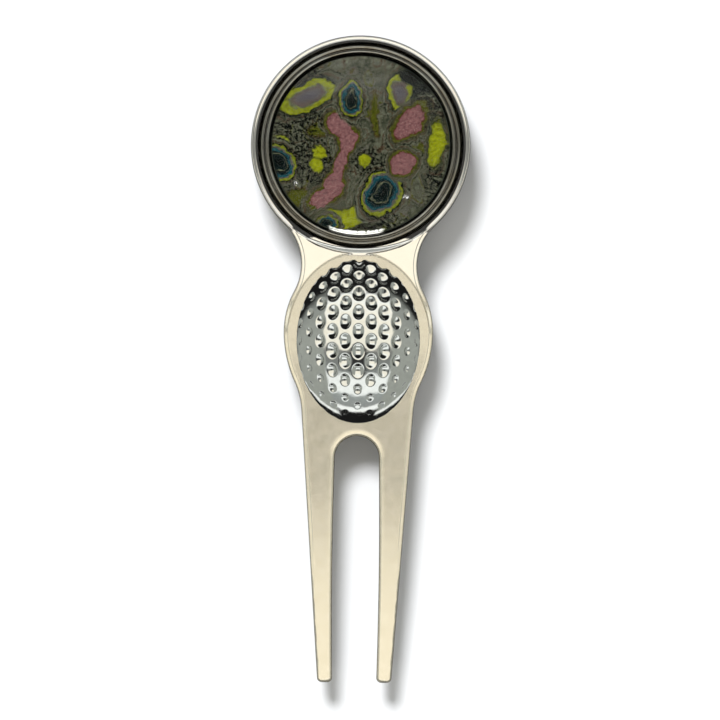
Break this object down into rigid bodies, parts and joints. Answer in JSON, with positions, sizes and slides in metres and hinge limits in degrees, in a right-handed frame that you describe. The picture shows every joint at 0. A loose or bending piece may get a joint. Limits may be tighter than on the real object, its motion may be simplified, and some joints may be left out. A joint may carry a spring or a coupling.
{
  "type": "divot repair tool with magnetic ball marker",
  "caption": "Flat golf divot tool: round head with a magnetic domed ball marker, dimpled oval thumb cup and a tapering fork.",
  "frame": {"origin": "on the ball marker's axis, at the flat back of the tool", "axes": "+Y from the prongs to the head, +Z out of the face that carries the marker, +X to the right of that face"},
  "size_m": [0.0278, 0.0819, 0.0066],
  "materials": {
    "satin_nickel": "satin brushed nickel plate, bright in the thumb cup and on the head's rim",
    "clear_epoxy": "cured clear epoxy",
    "magnet_plating": "nickel-plated magnet",
    "polished_nickel": "polished nickel plate with an aged tint",
    "black_adhesive": "black bonding layer",
    "marbled_paint": "marbled layers of olive, pink, yellow-green and blue paint",
    "clear_film": "clear bonding film",
    "lens_glass": "clear polished dome"
  },
  "bodies": {
    "tool": {"tool_body": "satin_nickel", "magnet_adhesive": "clear_epoxy", "holding_magnet": "magnet_plating"},
    "marker": {"marker_tray": "polished_nickel", "inlay_bed": "black_adhesive", "marbled_inlay": "marbled_paint", "lens_film": "clear_film", "domed_lens": "lens_glass"}
  },
  "joints": [
    {"name": "marker_lift", "type": "slide", "parent": "tool", "child": "marker", "axis": [0, 0, 1], "range_m": [0, 0.01]}
  ]
}
